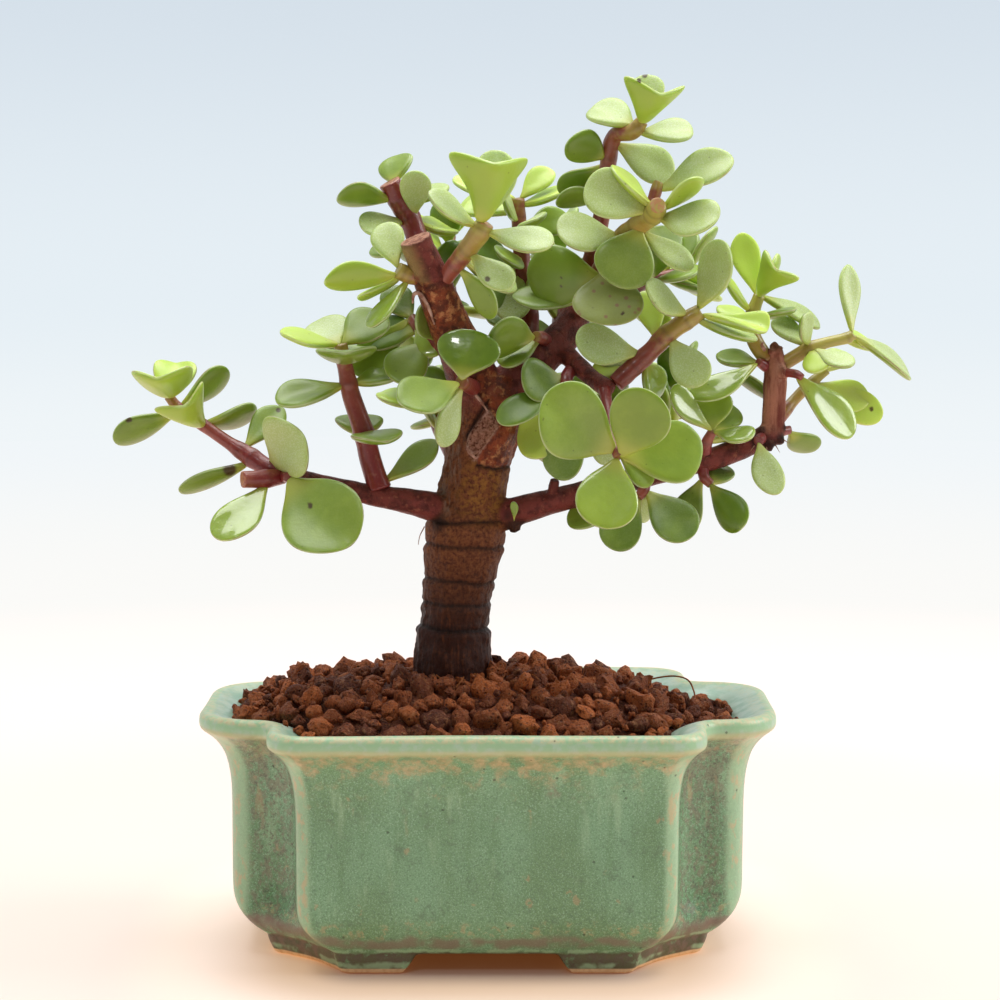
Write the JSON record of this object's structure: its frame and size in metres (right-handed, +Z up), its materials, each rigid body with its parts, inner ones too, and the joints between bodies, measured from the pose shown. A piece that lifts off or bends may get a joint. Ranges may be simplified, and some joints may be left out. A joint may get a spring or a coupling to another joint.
{
  "type": "dwarf jade bonsai in a glazed pot",
  "caption": "Small succulent bonsai with a leaning trunk and fleshy paired leaves, growing in crumbly soil in a glazed pot with indented corners.",
  "frame": {"origin": "middle of the bounding box in plan, at the undersides of the pot's four feet", "axes": "+Z up along the tree, +X to the right along the pot's long side, -Y to the front of the tree"},
  "size_m": [0.202, 0.0976, 0.2156],
  "materials": {
    "glaze": "satin",
    "soil": "matte",
    "bark": "satin",
    "leaf": "satin",
    "screen": "matte"
  },
  "bodies": {
    "root": {"drain_screen_left": "screen", "drain_screen_right": "screen", "pot": "glaze", "shoot_apex": "leaf", "shoot_back_branch": "leaf", "shoot_back_left": "leaf", "shoot_back_limb": "leaf", "shoot_back_low": "leaf", "shoot_back_middle": "leaf", "shoot_back_right": "leaf", "shoot_behind": "leaf", "shoot_centre": "leaf", "shoot_centre_low": "leaf", "shoot_clover": "leaf", "shoot_front_left": "leaf", "shoot_front_low": "leaf", "shoot_front_right": "leaf", "shoot_left_tip": "leaf", "shoot_left_upper": "leaf", "shoot_low_front": "leaf", "shoot_low_middle": "leaf", "shoot_low_right": "leaf", "shoot_middle_left": "leaf", "shoot_right_back": "leaf", "shoot_right_collar": "leaf", "shoot_right_inner": "leaf", "shoot_right_middle": "leaf", "shoot_right_outer": "leaf", "shoot_right_side": "leaf", "shoot_right_upper": "leaf", "shoot_right_wet": "leaf", "shoot_top_left": "leaf", "shoot_wet_cluster": "leaf", "shoot_whorl": "leaf", "soil": "soil", "trunk": "bark"}
  },
  "joints": []
}
